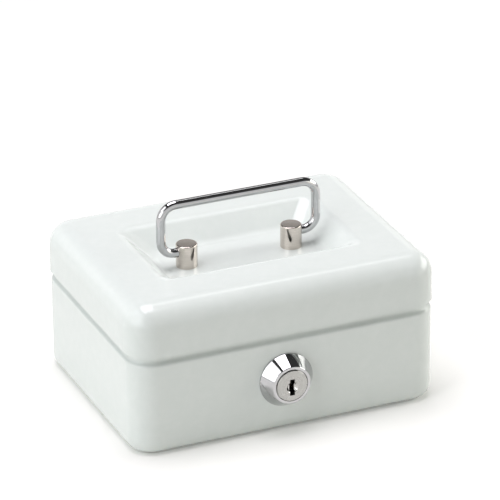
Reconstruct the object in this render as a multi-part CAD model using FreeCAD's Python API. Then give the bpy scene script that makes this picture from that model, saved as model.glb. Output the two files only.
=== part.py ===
import FreeCAD, Part
import math
import os

Vector = FreeCAD.Vector
ACROSS = Vector(1, 0, 0)
BACK = Vector(0, 1, 0)
UP = Vector(0, 0, 1)

# Sizes are in millimetres: X runs across the front, Y from front to back, Z up from the base.

# Pressed steel box
body_width = 125.0
body_depth = 95.0
seam_height = 41.0
lid_height = 19.5
sheet = 0.9
corner_radius = 10.0
base_edge_radius = 5.0
lid_edge_radius = 9.0

# Groove under the lid: the body's wall curves in over a shoulder to a neck that stands up inside the lid
groove_height = 4.5
shoulder_rise = 2.7
lid_overhang = 0.35
neck_clearance = 1.0
neck_overlap = 5.0

# Handle well pressed into the lid
well_width = 85.0
well_length = 51.5
well_depth = 8.0
well_wall_angle = 42.0
well_rim_radius = 5.0
well_floor_radius = 6.0
well_corner_radius = 5.0

# Coin slot in the well floor
slot_length = 36.0
slot_width = 4.6
slot_offset = 12.6

# Handle posts, riveted through the well floor
post_spacing = 43.4
post_diameter = 8.4
post_height = 9.3
post_chamfer = 0.5
post_tail_diameter = 4.0
post_rivet_diameter = 6.4
post_rivet_height = 1.2
post_washer_diameter = 9.0
post_washer_thickness = 0.8
rivet_clearance = 0.05

# Bail handle of bent wire
wire_diameter = 3.6
pivot_height = 6.1
handle_width = 64.2
handle_rise = 20.0
handle_foot_bend = 5.3
handle_top_bend = 6.0
pivot_depth = 6.4
pivot_end_gap = 0.4
pivot_clearance = 0.08

# Pair of pin hinges in the rear groove
hinge_from_side = 27.5
hinge_length = 28.0
lid_knuckle_length = 10.0
knuckle_gap = 0.3
hinge_pin_diameter = 2.0
hinge_pin_clearance = 0.05
leaf_thickness = 1.0
body_leaf_height = 13.0
lid_leaf_edge_clearance = 1.4
hinge_seam_gap = 0.35
hinge_notch_clearance = 0.6

# Cylinder lock in the front wall
lock_offset = -1.4
lock_height = 21.6
bezel_diameter = 21.7
bezel_rim = 0.6
bezel_face_diameter = 15.2
bezel_length = 5.9
bezel_face_radius = 0.5
bezel_rim_radius = 0.3
barrel_diameter = 17.0
barrel_flats = 15.0
barrel_length = 11.0
barrel_hole_clearance = 0.1
lock_washer_diameter = 22.0
lock_washer_thickness = 1.0
lock_nut_sides = 6
lock_nut_flats = 22.0
lock_nut_thickness = 4.0
lock_nut_chamfer_angle = 30.0

# Plug, wafers and keyway
plug_face_diameter = 12.8
plug_face_length = 3.0
plug_face_proud = 0.3
plug_face_chamfer = 0.3
plug_diameter = 11.2
plug_clearance = 0.05
plug_tail_gap = 0.2
keyway_width = 2.0
keyway_height = 6.6
keyway_drop = 0.7
keyway_mouth_diameter = 4.6
keyway_mouth_end_diameter = 3.0
keyway_mouth_depth = 0.9
keyway_end_wall = 4.5
wafer_count = 4
wafer_thickness = 0.8
wafer_pitch = 1.9
wafer_width = 4.4
wafer_height = 9.8
wafer_window_height = 6.6
wafer_clearance = 0.06
wafer_travel = 0.5
wafer_groove_clearance = 0.3
first_wafer_depth = 1.2

# Cam that hooks over the lid's strike
cam_thickness = 2.0
cam_square = 6.0
cam_square_clearance = 0.05
cam_hub_diameter = 13.0
cam_arm_width = 4.0
cam_claw_width = 4.0
cam_claw_lead = 14.0
cam_strike_clearance = 0.5
cam_turn = 90.0
cam_washer_diameter = 9.0
cam_washer_thickness = 0.8
cam_screw_diameter = 3.0
cam_screw_depth = 4.0
cam_screw_head_diameter = 6.4
cam_screw_head_height = 2.2
cam_screw_slot_width = 0.9
cam_screw_slot_depth = 1.0
cam_screw_clearance = 0.1

# Strike welded inside the lid front
strike_width = 8.0
strike_thickness = 1.2
strike_bend_radius = 0.6
strike_edge_clearance = 0.3
strike_neck_clearance = 1.2
strike_neck_gap = 1.6
strike_drop = 0.2
strike_reach = 1.0

# Margin by which cutting tools pass through the walls they cut, and how near two places count as one
through = 2.0
same_place = 1e-6

# Outlines along each stretch of the well's wall, which its surface runs through
well_steps = 6

# Places that follow from the sizes above
lid_top = seam_height + lid_height
lid_wall_top = lid_top - lid_edge_radius
neck_inset = sheet - lid_overhang + neck_clearance
shoulder_bottom = seam_height - groove_height
shoulder_top = shoulder_bottom + shoulder_rise
neck_top = seam_height + neck_overlap
well_floor = lid_top - well_depth
front_face = -body_depth / 2
front_inside = front_face + sheet
rear_inside = body_depth / 2 - sheet
lid_front_inside = front_face - lid_overhang + sheet
lid_rear_inside = -lid_front_inside
pivot_z = well_floor + pivot_height
hinge_spacing = body_width - 2 * hinge_from_side
knuckle_radius = hinge_pin_diameter / 2 + hinge_pin_clearance + leaf_thickness
hinge_y = lid_rear_inside + knuckle_radius - leaf_thickness
hinge_z = seam_height - hinge_seam_gap - knuckle_radius
barrel_end = front_face + barrel_length
plug_front = front_face - bezel_length - plug_face_proud
plug_end = barrel_end + plug_tail_gap
cam_end = plug_end + cam_thickness


def edges_at_height(shape, height):
    """Edges that lie in one level plane."""
    def level(edge):
        box = edge.BoundBox
        return abs(box.ZMin - height) < same_place and abs(box.ZMax - height) < same_place
    return [edge for edge in shape.Edges if level(edge)]


def circles_at(shape, axis, place, radius):
    """Round edges of one radius whose centre stands at one place along an axis."""
    def fits(edge):
        curve = edge.Curve
        if not isinstance(curve, Part.Circle):
            return False
        same_radius = abs(curve.Radius - radius) < same_place
        return same_radius and abs(curve.Center.dot(axis) - place) < same_place
    return [edge for edge in shape.Edges if fits(edge)]


def rounded_outline(width, depth, radius, height):
    """Level rectangle with rounded corners, centred on the vertical axis."""
    x = width / 2 - radius
    y = depth / 2 - radius
    slant = radius * math.sqrt(0.5)
    edges = []
    for side_x, side_y in ((1, 1), (-1, 1), (-1, -1), (1, -1)):
        along_x = Vector(side_x * (x + radius), side_y * y, height)
        middle = Vector(side_x * (x + slant), side_y * (y + slant), height)
        along_y = Vector(side_x * x, side_y * (y + radius), height)
        ends = (along_x, along_y) if side_x * side_y > 0 else (along_y, along_x)
        edges.append(Part.Arc(ends[0], middle, ends[1]).toShape())
    sides = []
    for here, after in zip(edges, edges[1:] + edges[:1]):
        sides.append(here)
        sides.append(Part.makeLine(end_of(here), start_of(after)))
    return Part.Wire(sides)


def rounded_block(width, depth, radius, bottom, top):
    """Upright block with rounded corners."""
    return Part.Face(rounded_outline(width, depth, radius, bottom)).extrude(UP * (top - bottom))


def box_plan(inset):
    """Width, depth and corner radius of the box's plan, set in from its outside by a distance."""
    return body_width - 2 * inset, body_depth - 2 * inset, corner_radius - inset


def box_block(inset, bottom, top):
    """Block that follows the plan of the box, set in from its outside by a distance."""
    return rounded_block(*box_plan(inset), bottom, top)


def section_arc(centre_x, centre_z, radius, start, finish):
    """Round stretch of a section in the XZ plane, between two turns from +X towards +Z."""
    def at(turn):
        return Vector(centre_x + radius * math.cos(turn), 0, centre_z + radius * math.sin(turn))
    return Part.Arc(at(start), at((start + finish) / 2), at(finish)).toShape()


def start_of(edge):
    return edge.firstVertex(True).Point


def end_of(edge):
    return edge.lastVertex(True).Point


def swept(section, path):
    """Solid made by carrying a closed section round a closed path."""
    return path.makePipeShell([section], True, False)


def box_between(low, high):
    """Box from its lowest to its highest corner."""
    return Part.makeBox(high[0] - low[0], high[1] - low[1], high[2] - low[2], Vector(*low))


def rod(radius, start, end):
    """Straight round bar between two points."""
    return Part.makeCylinder(radius, (end - start).Length, start, end - start)


def turned(points, axis):
    """Solid turned from an outline of (radius, distance along the axis) points."""
    outward = UP if axis == BACK else ACROSS
    outline = [outward * radius + axis * along for radius, along in points]
    face = Part.Face(Part.makePolygon(outline + outline[:1]))
    return face.revolve(Vector(0, 0, 0), axis, 360)


def moved(shape, x, y, z):
    """Copy of a shape set at a place."""
    copy = shape.copy()
    copy.translate(Vector(x, y, z))
    return copy


def at_lock(shape):
    """Move a piece made about the Y axis onto the lock's axis."""
    return moved(shape, lock_offset, 0, lock_height)


def join(first, *others):
    """One solid from pieces that meet, without seams left in flat faces."""
    return first.fuse(list(others)).removeSplitter()


# Body: a drawn tray whose wall curves in at the top to a neck
def shoulder_section(inset):
    """Section between neck and wall under the shoulder's S curve, for a skin set in by a distance."""
    turn = 2 * math.atan2(neck_inset, shoulder_rise)
    radius = shoulder_rise / 2 / math.sin(turn)
    wall = body_width / 2
    outward = section_arc(wall - radius, shoulder_bottom, radius - inset, 0, turn)
    inward = section_arc(wall - neck_inset + radius, shoulder_top, radius + inset, math.pi + turn, math.pi)
    neck_foot = Vector(wall - neck_inset - inset, 0, shoulder_bottom)
    closing = Part.makePolygon([end_of(inward), neck_foot, start_of(outward)])
    return Part.Wire([outward, inward] + closing.Edges)


def body_skin(inset, top):
    """Solid bounded by one skin of the body, set in from its outside by a distance."""
    tray = box_block(inset, inset, shoulder_bottom)
    tray = tray.makeFillet(base_edge_radius - inset, edges_at_height(tray, inset))
    neck = neck_inset + inset
    shoulder = swept(shoulder_section(inset), rounded_outline(*box_plan(neck), shoulder_bottom))
    return join(tray, shoulder, box_block(neck, base_edge_radius, top))


def body_shell():
    shell = body_skin(0, neck_top).cut(body_skin(sheet, neck_top + through))
    shell = shell.cut(at_lock(barrel_blank(barrel_hole_clearance)))
    return shell.cut([hinge_notch(side) for side in (-1, 1)])


def hinge_notch(side):
    """Gap in the rear shoulder and neck that takes one hinge."""
    half = hinge_length / 2 + hinge_notch_clearance
    middle = side * hinge_spacing / 2
    inner = rear_inside - neck_inset - leaf_thickness - through
    bottom = hinge_z - knuckle_radius - hinge_notch_clearance
    return box_between((middle - half, inner, bottom), (middle + half, hinge_y, neck_top + through))


# Lid: a drawn cover with a sloping well for the handle
def well_wall(grow):
    """Points up the well's wall, as distance out from the rim and height, for a skin set back by grow."""
    angle = math.radians(well_wall_angle)
    bend = 1 - math.cos(angle)
    slope = (well_depth - (well_floor_radius + well_rim_radius) * bend) / math.sin(angle)
    run = (well_floor_radius + well_rim_radius) * math.sin(angle) + slope * math.cos(angle)
    down = -math.pi / 2
    up = math.pi / 2
    bend_height = well_floor + well_floor_radius
    floor_bend = section_arc(-run, bend_height, well_floor_radius + grow, down, down + angle)
    rim_bend = section_arc(0, lid_top - well_rim_radius, well_rim_radius - grow, up + angle, up)
    wall = Part.makeLine(end_of(floor_bend), start_of(rim_bend))
    points = []
    for stretch in (floor_bend, wall, rim_bend):
        points.extend(stretch.discretize(well_steps)[:-1])
    return points + [end_of(rim_bend)]


def well_tool(grow):
    """Space of the handle well, or with grow the space above the underside of its skin."""
    outlines = []
    for point in well_wall(grow):
        width = well_width + 2 * point.x
        length = well_length + 2 * point.x
        outlines.append(rounded_outline(width, length, well_corner_radius + grow, point.z))
    return Part.makeLoft(outlines, True)


def coin_slot():
    """Slot with round ends through the well floor, in front of the handle."""
    radius = slot_width / 2
    half = slot_length / 2 - radius
    bottom = well_floor - sheet - through
    top = lid_top
    middle = box_between((-half, -slot_offset - radius, bottom), (half, -slot_offset + radius, top))
    ends = [rod(radius, Vector(x, -slot_offset, bottom), Vector(x, -slot_offset, top)) for x in (-half, half)]
    return join(middle, *ends)


def lid_shell():
    outside = box_block(-lid_overhang, seam_height, lid_top)
    outside = outside.makeFillet(lid_edge_radius, edges_at_height(outside, lid_top))
    inside = box_block(sheet - lid_overhang, seam_height - through, lid_top - sheet)
    inside = inside.makeFillet(lid_edge_radius - sheet, edges_at_height(inside, lid_top - sheet))
    shell = outside.cut(well_tool(0)).cut(inside.cut(well_tool(sheet)))
    tail = rod(post_tail_diameter / 2 + rivet_clearance, UP * (well_floor - sheet - through), UP * lid_top)
    holes = [moved(tail, side * post_spacing / 2, 0, 0) for side in (-1, 1)]
    return shell.cut([coin_slot()] + holes)


# Hinges: each has a body leaf with two knuckles, a lid leaf with one, and a pin
def knuckle(start, end, bore):
    """Rolled knuckle on the hinge axis between two places along X."""
    first = Vector(start, hinge_y, hinge_z)
    last = Vector(end, hinge_y, hinge_z)
    return rod(knuckle_radius, first, last).cut(rod(bore, first, last))


def body_leaf(side):
    """Leaf welded inside the rear wall, with its two knuckles reaching out over the notch's edge."""
    middle = side * hinge_spacing / 2
    half = hinge_length / 2
    gap = lid_knuckle_length / 2 + knuckle_gap
    plate_front = rear_inside - leaf_thickness
    strip_bottom = hinge_z - knuckle_radius
    plate_top = strip_bottom - knuckle_gap
    leaf = box_between((middle - half, plate_front, hinge_z - body_leaf_height),
                       (middle + half, rear_inside, plate_top))
    pieces = []
    for start, end in ((middle - half, middle - gap), (middle + gap, middle + half)):
        bore = hinge_pin_diameter / 2
        strip = box_between((start, plate_front, strip_bottom), (end, hinge_y, strip_bottom + leaf_thickness))
        axis = rod(bore, Vector(start, hinge_y, hinge_z), Vector(end, hinge_y, hinge_z))
        pieces.append(box_between((start, plate_front, plate_top), (end, rear_inside, strip_bottom)))
        pieces.append(strip.cut(axis))
        pieces.append(knuckle(start, end, bore))
    return join(leaf, *pieces)


def lid_leaf(side):
    """Leaf welded inside the lid's rear wall, with the middle knuckle."""
    middle = side * hinge_spacing / 2
    half = hinge_length / 2
    reach = lid_knuckle_length / 2
    bore = hinge_pin_diameter / 2 + hinge_pin_clearance
    front = lid_rear_inside - leaf_thickness
    plate_bottom = hinge_z + knuckle_radius + knuckle_gap
    plate = box_between((middle - half, front, plate_bottom),
                        (middle + half, lid_rear_inside, lid_wall_top - lid_leaf_edge_clearance))
    stem = box_between((middle - reach, front, hinge_z), (middle + reach, lid_rear_inside, plate_bottom))
    return join(plate, stem, knuckle(middle - reach, middle + reach, bore))


def hinge_pin(side):
    middle = side * hinge_spacing / 2
    half = hinge_length / 2
    start = Vector(middle - half, hinge_y, hinge_z)
    return rod(hinge_pin_diameter / 2, start, start + ACROSS * hinge_length)


# Lock: a bezel and barrel held by a nut, a plug with sliding wafers, and a cam
def barrel_blank(clearance):
    """Barrel about the Y axis with two upright flats, from the wall's outer face to its end."""
    radius = barrel_diameter / 2 + clearance
    half = barrel_flats / 2 + clearance
    barrel = rod(radius, BACK * front_face, BACK * barrel_end)
    return barrel.common(box_between((-half, front_face, -radius), (half, barrel_end, radius)))


def wafer_groove(turn):
    """Groove in the barrel's bore that the wafers drop into, at one turn of the plug."""
    half = wafer_width / 2 + wafer_groove_clearance
    depth = wafer_height / 2 + wafer_travel + wafer_groove_clearance
    front = plug_front + plug_face_length
    groove = box_between((-half, front, -depth), (half, barrel_end, 0))
    groove.rotate(Vector(0, 0, 0), BACK, turn)
    return groove


def lock_housing():
    face = front_face - bezel_length
    wide = bezel_diameter / 2
    narrow = bezel_face_diameter / 2
    rim = front_face - bezel_rim
    bezel = turned([(0, front_face), (wide, front_face), (wide, rim), (narrow, face), (0, face)], BACK)
    bezel = bezel.makeFillet(bezel_face_radius, circles_at(bezel, BACK, face, narrow))
    bezel = bezel.makeFillet(bezel_rim_radius, circles_at(bezel, BACK, rim, wide))
    step = plug_front + plug_face_length + plug_clearance
    face_bore = rod(plug_face_diameter / 2 + plug_clearance, BACK * face, BACK * step)
    bore = rod(plug_diameter / 2 + plug_clearance, BACK * face, BACK * barrel_end)
    housing = join(bezel, barrel_blank(0)).cut([face_bore, bore])
    return at_lock(housing.cut([wafer_groove(turn) for turn in (0, cam_turn)]))


def keyway(height):
    """Flat space for the key, a little below the plug's axis, from its face to its end wall."""
    bottom = -keyway_drop - height / 2
    return box_between((-keyway_width / 2, plug_front, bottom),
                       (keyway_width / 2, plug_end - keyway_end_wall, bottom + height))


def wafer_places():
    """Front of each wafer along the plug."""
    first = plug_front + plug_face_length + first_wafer_depth
    return [first + wafer_pitch * index for index in range(wafer_count)]


def lock_plug():
    step = plug_front + plug_face_length
    head = rod(plug_face_diameter / 2, BACK * plug_front, BACK * step)
    head = head.makeChamfer(plug_face_chamfer, circles_at(head, BACK, plug_front, plug_face_diameter / 2))
    stem = rod(plug_diameter / 2, BACK * step, BACK * plug_end)
    half = cam_square / 2
    square = box_between((-half, plug_end, -half), (half, cam_end, half))
    mouth = Part.makeCone(keyway_mouth_diameter / 2, keyway_mouth_end_diameter / 2, keyway_mouth_depth,
                          BACK * plug_front - UP * keyway_drop, BACK)
    screw_hole = rod(cam_screw_diameter / 2, BACK * (cam_end - cam_screw_depth), BACK * cam_end)
    plug = join(head, stem, square).cut([keyway(keyway_height), mouth, screw_hole])
    slot_half = wafer_width / 2 + wafer_clearance
    reach = plug_diameter / 2
    slots = []
    for place in wafer_places():
        front = place - wafer_clearance
        rear = place + wafer_thickness + wafer_clearance
        slots.append(box_between((-slot_half, front, -reach), (slot_half, rear, reach)))
    return at_lock(plug.cut(slots))


def lock_wafers():
    """Thin plates with a window for the key, drawn in flush with the plug."""
    half = wafer_width / 2
    tall = wafer_height / 2
    window = keyway(wafer_window_height)
    plates = []
    for place in wafer_places():
        plate = box_between((-half, place, -tall), (half, place + wafer_thickness, tall))
        plates.append(plate.cut(window))
    return at_lock(Part.makeCompound(plates))


def ring_on_barrel(outside, start, thickness):
    """Flat ring that fits the barrel."""
    hole = rod(barrel_diameter / 2, BACK * start, BACK * (start + thickness))
    return at_lock(outside.cut(hole))


def lock_washer():
    end = front_inside + lock_washer_thickness
    disc = rod(lock_washer_diameter / 2, BACK * front_inside, BACK * end)
    return ring_on_barrel(disc, front_inside, lock_washer_thickness)


def lock_nut():
    """Hexagon nut with its corners turned off at both faces."""
    start = front_inside + lock_washer_thickness
    end = start + lock_nut_thickness
    flat = lock_nut_flats / 2
    corner = flat / math.cos(math.pi / lock_nut_sides)
    fall = (corner - flat) * math.tan(math.radians(lock_nut_chamfer_angle))
    turns = [2 * math.pi * index / lock_nut_sides for index in range(lock_nut_sides + 1)]
    outline = [Vector(corner * math.cos(turn), start, corner * math.sin(turn)) for turn in turns]
    hexagon = Part.Face(Part.makePolygon(outline)).extrude(BACK * lock_nut_thickness)
    blank = [(0, start), (flat, start), (corner, start + fall), (corner, end - fall), (flat, end), (0, end)]
    return ring_on_barrel(hexagon.common(turned(blank, BACK)), start, lock_nut_thickness)


def strike_tongue_top():
    """Height of the top face of the strike's tongue."""
    return seam_height + strike_drop + strike_thickness


def polar(radius, turn):
    """Point in the cam's plane, at a turn in degrees from upright towards +X."""
    return Vector(radius * math.sin(math.radians(turn)), plug_end, radius * math.cos(math.radians(turn)))


def lock_cam():
    """Hooked cam, made in its locked place over the strike and turned back to its open one."""
    tongue_rise = strike_tongue_top() - lock_height
    tongue_far_side = strike_width / 2 + abs(lock_offset)
    inner = math.hypot(tongue_rise, tongue_far_side) + cam_strike_clearance
    outer = inner + cam_claw_width
    tongue_under = tongue_rise - strike_thickness
    tongue_turn = math.degrees(math.atan2(tongue_far_side + cam_strike_clearance, tongue_under))
    arm_turn = math.degrees(cam_arm_width / inner)
    tail = -tongue_turn - arm_turn
    lead = cam_claw_lead
    middle = (tail + lead) / 2
    outline = [Part.Arc(polar(outer, tail), polar(outer, middle), polar(outer, lead)).toShape(),
               Part.makeLine(polar(outer, lead), polar(inner, lead)),
               Part.Arc(polar(inner, lead), polar(inner, middle), polar(inner, tail)).toShape(),
               Part.makeLine(polar(inner, tail), polar(outer, tail))]
    claw = Part.Face(Part.Wire(outline)).extrude(BACK * cam_thickness)
    half = cam_arm_width / 2
    arm = box_between((-half, plug_end, 0), (half, cam_end, inner + cam_claw_width / 2))
    arm.rotate(Vector(0, 0, 0), BACK, -tongue_turn - arm_turn / 2)
    hub = rod(cam_hub_diameter / 2, BACK * plug_end, BACK * cam_end)
    hole = cam_square / 2 + cam_square_clearance
    square = box_between((-hole, plug_end, -hole), (hole, cam_end, hole))
    cam = join(claw, arm, hub).cut(square)
    cam.rotate(Vector(0, 0, 0), BACK, -cam_turn)
    return at_lock(cam)


def cam_washer():
    end = cam_end + cam_washer_thickness
    disc = rod(cam_washer_diameter / 2, BACK * cam_end, BACK * end)
    return at_lock(disc.cut(rod(cam_screw_diameter / 2 + cam_screw_clearance, BACK * cam_end, BACK * end)))


def cam_screw():
    seat = cam_end + cam_washer_thickness
    end = seat + cam_screw_head_height
    radius = cam_screw_head_diameter / 2
    shank = rod(cam_screw_diameter / 2, BACK * (cam_end - cam_screw_depth), BACK * seat)
    head = rod(radius, BACK * seat, BACK * end)
    half = cam_screw_slot_width / 2
    slot = box_between((-radius, end - cam_screw_slot_depth, -half), (radius, end, half))
    return at_lock(join(shank, head.cut(slot)))


# Strike: a bent strip welded to the lid's front wall, over the neck and down to the cam
def edges_across(shape, place):
    """Edges that run along X through one (Y, Z) place."""
    def runs_there(edge):
        box = edge.BoundBox
        return all(abs(value - wanted) < same_place for value, wanted in
                   ((box.YMin, place[0]), (box.YMax, place[0]), (box.ZMin, place[1]), (box.ZMax, place[1])))
    return [edge for edge in shape.Edges if runs_there(edge)]


def strike_bracket():
    half = strike_width / 2
    wall = lid_front_inside
    wall_side = wall + strike_thickness
    pad_top = lid_wall_top - strike_edge_clearance
    bridge = neck_top + strike_neck_clearance
    bridge_top = bridge + strike_thickness
    drop_front = front_face + neck_inset + sheet + strike_neck_gap
    drop_back = drop_front + strike_thickness
    tongue_top = strike_tongue_top()
    tongue = tongue_top - strike_thickness
    tongue_end = cam_end + strike_reach
    outer_bends = [(wall, bridge), (drop_back, bridge_top), (drop_front, tongue)]
    inner_bends = [(wall_side, bridge_top), (drop_front, bridge), (drop_back, tongue_top)]
    outline = [outer_bends[0], inner_bends[1], outer_bends[2], (tongue_end, tongue), (tongue_end, tongue_top),
               inner_bends[2], outer_bends[1], inner_bends[0], (wall_side, pad_top), (wall, pad_top)]
    points = [Vector(-half, y, z) for y, z in outline]
    strip = Part.Face(Part.makePolygon(points + points[:1])).extrude(ACROSS * strike_width)
    outer_radius = strike_bend_radius + strike_thickness
    for places, radius in ((outer_bends, outer_radius), (inner_bends, strike_bend_radius)):
        edges = [edge for place in places for edge in edges_across(strip, place)]
        strip = strip.makeFillet(radius, edges)
    return strip


# Handle: bent wire that swings in two posts
def handle_post(side):
    radius = post_diameter / 2
    top = well_floor + post_height
    under = well_floor - sheet - post_washer_thickness
    body = rod(radius, UP * well_floor, UP * top)
    body = body.makeChamfer(post_chamfer, circles_at(body, UP, top, radius))
    tail = rod(post_tail_diameter / 2, UP * under, UP * well_floor)
    rivet = Part.makeCone(post_tail_diameter / 2, post_rivet_diameter / 2, post_rivet_height,
                          UP * (under - post_rivet_height), UP)
    bore_radius = wire_diameter / 2 + pivot_clearance
    outer = Vector(side * radius, 0, pivot_z)
    bore = rod(bore_radius, outer, outer - ACROSS * side * pivot_depth)
    return moved(join(body, tail, rivet).cut(bore), side * post_spacing / 2, 0, 0)


def post_washers():
    top = well_floor - sheet
    under = top - post_washer_thickness
    disc = rod(post_washer_diameter / 2, UP * under, UP * top)
    washer = disc.cut(rod(post_tail_diameter / 2 + rivet_clearance, UP * under, UP * top))
    return Part.makeCompound([moved(washer, side * post_spacing / 2, 0, 0) for side in (-1, 1)])


def handle():
    leg = handle_width / 2
    end = post_spacing / 2 + post_diameter / 2 - pivot_depth + pivot_end_gap
    bar = pivot_z + handle_rise
    foot = handle_foot_bend
    shoulder = handle_top_bend

    def bend(side, radius, height, lift, start, finish):
        centre = Vector(side * (leg - radius), 0, height + lift * radius)
        slant = radius * math.sqrt(0.5)
        middle = centre + Vector(side * slant, 0, -lift * slant)
        return Part.Arc(start, middle, finish).toShape()

    def point(side, x, z):
        return Vector(side * x, 0, z)

    edges = []
    for side in (-1, 1):
        tip = point(side, end, pivot_z)
        foot_start = point(side, leg - foot, pivot_z)
        foot_end = point(side, leg, pivot_z + foot)
        top_start = point(side, leg, bar - shoulder)
        top_end = point(side, leg - shoulder, bar)
        half = [Part.makeLine(tip, foot_start), bend(side, foot, pivot_z, 1, foot_start, foot_end),
                Part.makeLine(foot_end, top_start), bend(side, shoulder, bar, -1, top_start, top_end)]
        edges.extend(half)
    edges.append(Part.makeLine(point(-1, leg - shoulder, bar), point(1, leg - shoulder, bar)))
    path = Part.Wire(Part.__sortEdges__(edges))
    start = path.OrderedVertexes[0].Point
    section = Part.Wire(Part.makeCircle(wire_diameter / 2, start, ACROSS))
    return path.makePipeShell([section], True, False)


os.makedirs("parts", exist_ok=True)

pieces = {
    "body_shell": body_shell(),
    "lid_shell": lid_shell(),
    "lock_housing": lock_housing(),
    "lock_plug": lock_plug(),
    "lock_wafers": lock_wafers(),
    "lock_washer": lock_washer(),
    "lock_nut": lock_nut(),
    "lock_cam": lock_cam(),
    "cam_washer": cam_washer(),
    "cam_screw": cam_screw(),
    "strike_bracket": strike_bracket(),
    "handle": handle(),
    "post_washers": post_washers(),
}
for side, hand in ((-1, "left"), (1, "right")):
    pieces["hinge_body_leaf_" + hand] = body_leaf(side)
    pieces["hinge_lid_leaf_" + hand] = lid_leaf(side)
    pieces["hinge_pin_" + hand] = hinge_pin(side)
    pieces["handle_post_" + hand] = handle_post(side)

for name, shape in pieces.items():
    print(name, "solids", len(shape.Solids), "valid", shape.isValid(), "volume", round(shape.Volume, 2))
    shape.exportStep("parts/" + name + ".step")
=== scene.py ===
# %% [markdown]
# A small steel cash box with a hinged lid, a wire handle and a cylinder lock, dressed for its portrait.
# The CAD solids come in as a fixed frame: they give the places and the overall sizes, and each piece
# made below stands where its solid stands. The looks could be painted onto those solids as they are,
# but their faces are loose flat triangles, so the pieces that show are drawn again with smooth skins.

# %% Load the frame
import math

import bmesh
import bpy
from mathutils import Matrix, Vector


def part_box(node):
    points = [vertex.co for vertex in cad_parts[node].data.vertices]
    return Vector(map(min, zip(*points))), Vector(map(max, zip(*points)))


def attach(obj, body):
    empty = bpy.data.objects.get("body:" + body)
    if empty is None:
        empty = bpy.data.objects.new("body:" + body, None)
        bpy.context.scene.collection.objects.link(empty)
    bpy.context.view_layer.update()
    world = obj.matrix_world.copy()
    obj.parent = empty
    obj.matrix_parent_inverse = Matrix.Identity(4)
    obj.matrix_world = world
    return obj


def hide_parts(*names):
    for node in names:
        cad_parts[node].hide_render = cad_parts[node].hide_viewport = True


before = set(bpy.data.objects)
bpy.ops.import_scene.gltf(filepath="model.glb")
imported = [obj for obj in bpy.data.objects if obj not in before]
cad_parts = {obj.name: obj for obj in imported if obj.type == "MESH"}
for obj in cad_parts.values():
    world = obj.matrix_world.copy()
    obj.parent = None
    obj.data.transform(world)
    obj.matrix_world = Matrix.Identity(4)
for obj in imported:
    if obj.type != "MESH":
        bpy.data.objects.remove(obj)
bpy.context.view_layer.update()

scene = bpy.context.scene
scene.view_settings.view_transform = "Standard"

# %% [markdown]
# The photograph was taken from a step away with a long lens, a little left of the front and above the
# lid. A camera can be placed by eye, but this one was worked out from the box's own edges in the
# picture: a turn, a rise and a distance round a target, with a small roll and slide. The names say
# what each number does, so the view can be changed one step at a time.

# %% Camera
millimetre = 0.001
UP = Vector((0, 0, 1))
picture_width = 500
sensor_width = 36.0
focal_pixels = 3973.6
view_turn = math.radians(-23.038)
view_rise = math.radians(25.041)
view_roll = math.radians(-0.465)
view_distance = 1532.9 * millimetre
view_target = Vector((0, 0, 30 * millimetre))
slide_right = 4.015 * millimetre
slide_up = 22.398 * millimetre

toward_camera = Vector((math.sin(view_turn) * math.cos(view_rise),
                        -math.cos(view_turn) * math.cos(view_rise),
                        math.sin(view_rise)))
level_right = UP.cross(toward_camera).normalized()
level_up = toward_camera.cross(level_right)
picture_right = math.cos(view_roll) * level_right + math.sin(view_roll) * level_up
picture_up = math.cos(view_roll) * level_up - math.sin(view_roll) * level_right
aimed_at = view_target + slide_right * picture_right + slide_up * picture_up
camera_place = aimed_at + view_distance * toward_camera

camera_data = bpy.data.cameras.new("portrait_camera")
camera_data.sensor_width = sensor_width
camera_data.lens = focal_pixels / picture_width * sensor_width
camera = bpy.data.objects.new("portrait_camera", camera_data)
turned_axes = Matrix((picture_right, picture_up, toward_camera)).transposed()
camera.matrix_world = Matrix.Translation(camera_place) @ turned_axes.to_4x4()
scene.collection.objects.link(camera)
scene.camera = camera
print("camera at", list(camera_place), "with a lens of", round(camera_data.lens, 1), "mm")

# %% [markdown]
# Materials and lights are node trees. A short helper adds one node, sets its options and fills its
# sockets, either with a plain value or with a link from another node's output. Wiring the nodes one
# by one would say the same in three times the lines.

# %% Helper for nodes
def add_node(tree, kind, sockets=None, **options):
    """One node with its options set and its input sockets filled by value or by link."""
    made = tree.nodes.new(kind)
    for name, value in options.items():
        setattr(made, name, value)
    for name, value in (sockets or {}).items():
        if isinstance(value, bpy.types.NodeSocket):
            tree.links.new(value, made.inputs[name])
        else:
            made.inputs[name].default_value = value
    return made


print("node helper ready:", add_node.__doc__)

# %% [markdown]
# The box stands on a pale sheet of paper. The floor is an ordinary pale surface that catches the
# shadow, and to the camera, to mirror-like metal and through glass it glows a little as well, so that
# it reads as white paper without putting more light on the box. A floor of pure glow would lose the
# shadow.

# %% Floor
floor_size = 8.0
floor_drop = 0.05 * millimetre
floor_glow = 0.14
paper_colour = (0.88, 0.88, 0.85, 1)
glow_colour = (1, 1, 1, 1)


def shown_rays(tree):
    """1 for what the camera, mirrors and glass show, and 0 for the rays that carry light to the box."""
    rays = add_node(tree, "ShaderNodeLightPath").outputs
    shown = rays["Is Camera Ray"]
    for kind in ("Is Glossy Ray", "Is Transmission Ray"):
        shown = add_node(tree, "ShaderNodeMath", {0: shown, 1: rays[kind]}, operation="MAXIMUM").outputs[0]
    return shown


floor_shape = bmesh.new()
bmesh.ops.create_grid(floor_shape, x_segments=1, y_segments=1, size=floor_size / 2,
                      matrix=Matrix.Translation((0, 0, -floor_drop)))
floor_mesh = bpy.data.meshes.new("paper_floor")
floor_shape.to_mesh(floor_mesh)
floor_shape.free()
floor = bpy.data.objects.new("paper_floor", floor_mesh)
scene.collection.objects.link(floor)

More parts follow.
